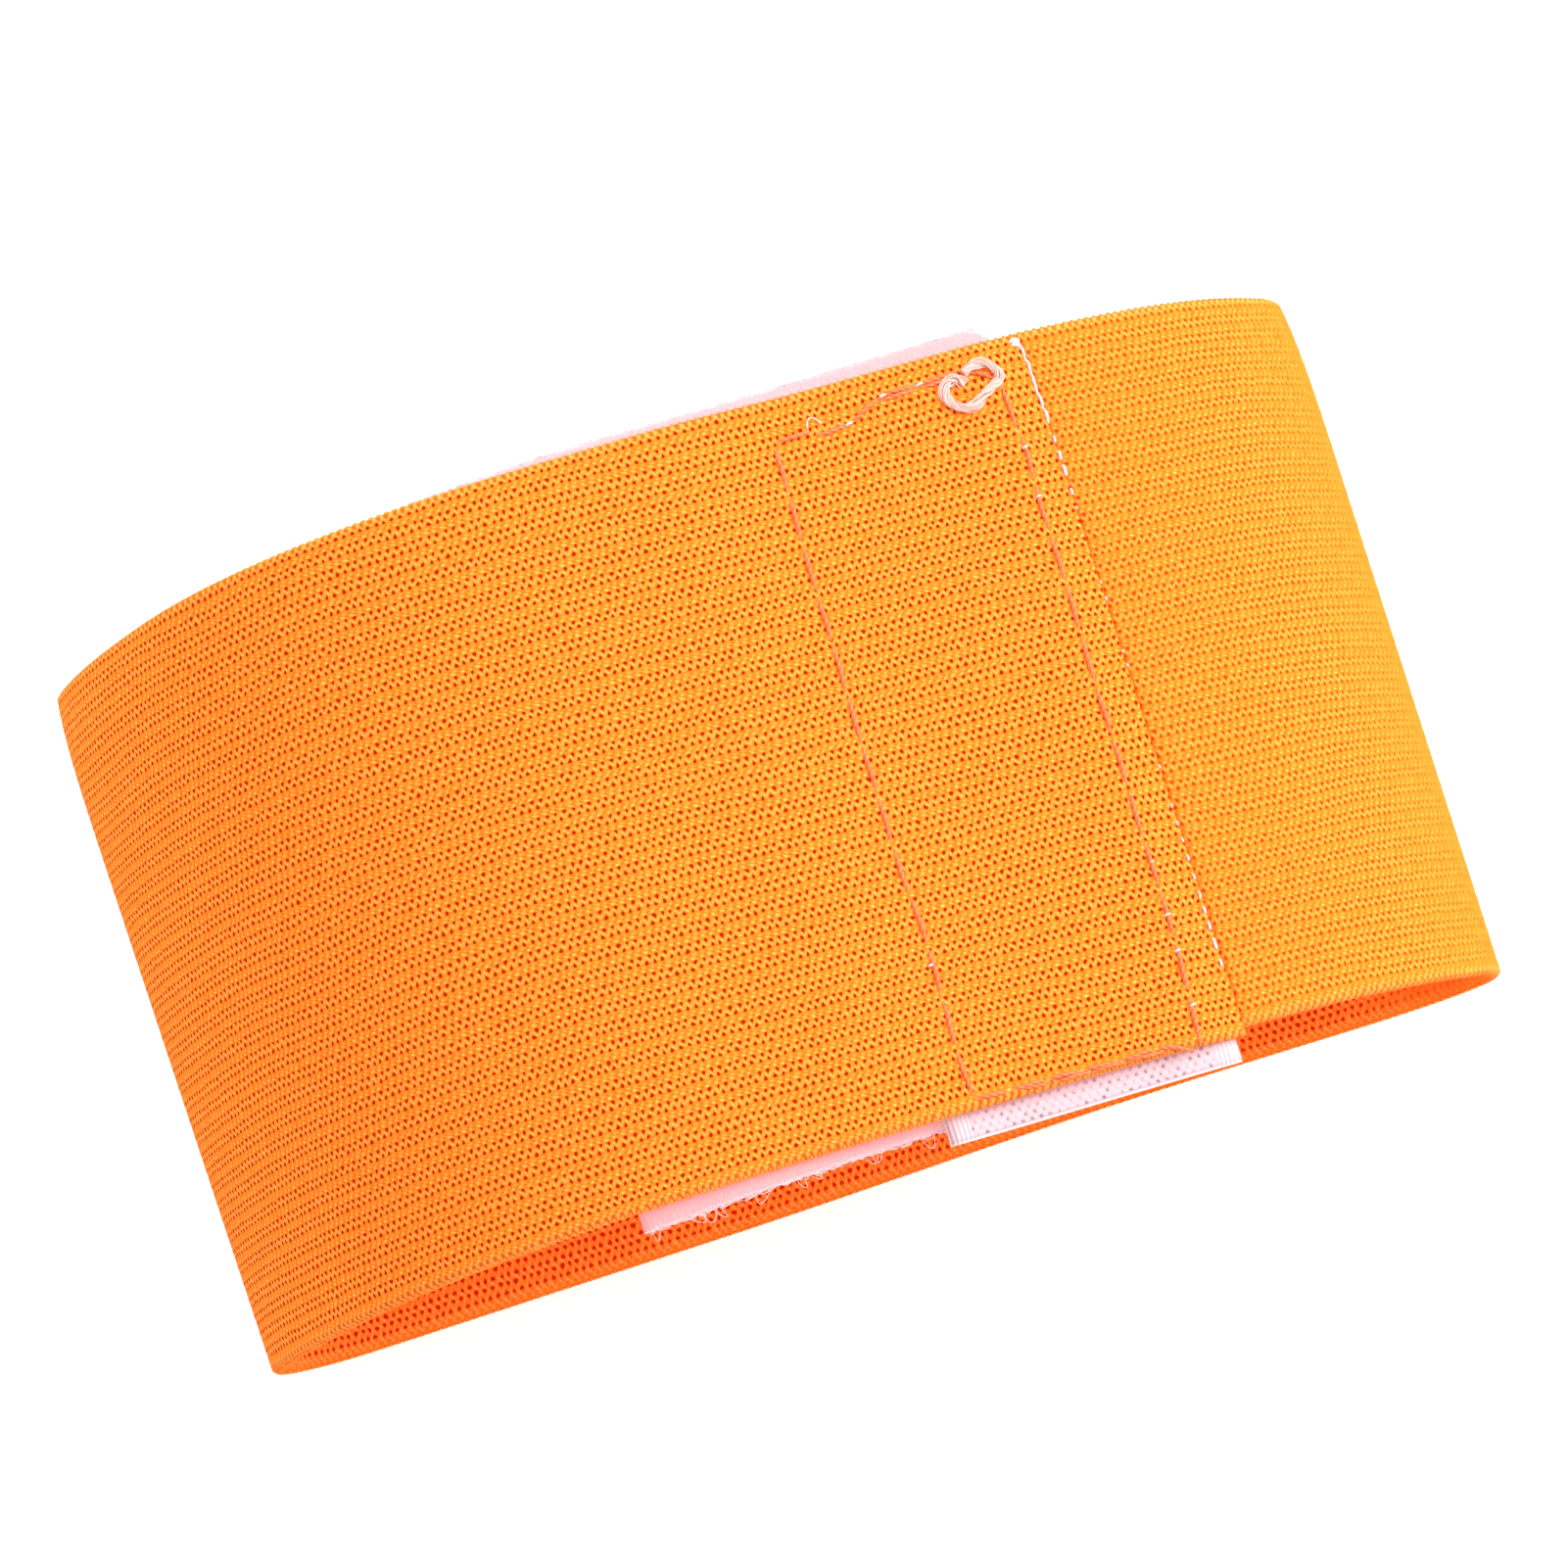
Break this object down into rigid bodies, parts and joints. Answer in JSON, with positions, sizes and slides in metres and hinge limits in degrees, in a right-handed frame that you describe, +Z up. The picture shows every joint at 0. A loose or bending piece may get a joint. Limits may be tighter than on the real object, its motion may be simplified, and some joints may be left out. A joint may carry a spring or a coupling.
{
  "type": "captain armband",
  "caption": "Wide knitted elastic armband wound once into a loop and closed by a hook tape and a loop tape, lying on its flat back with the front wall arched.",
  "frame": {"origin": "on the table, under the middle of the loop as it lies on its back wall", "axes": "+X across the loop from tip to tip, with the closure's outer end towards +X; +Y along the loop's axis; +Z up through the arched front wall"},
  "size_m": [0.1094, 0.0642, 0.036],
  "materials": {
    "elastic": "ribbed knitted elastic, matte",
    "hook_tape": "woven nylon hook tape, slightly glossy",
    "loop_tape": "brushed nylon loop tape, fuzzy",
    "white_thread": "white sewing thread",
    "orange_thread": "salmon-orange sewing thread"
  },
  "bodies": {
    "root": {"elastic_band": "elastic", "hook_tape": "hook_tape", "loop_tape": "loop_tape"}
  },
  "joints": []
}
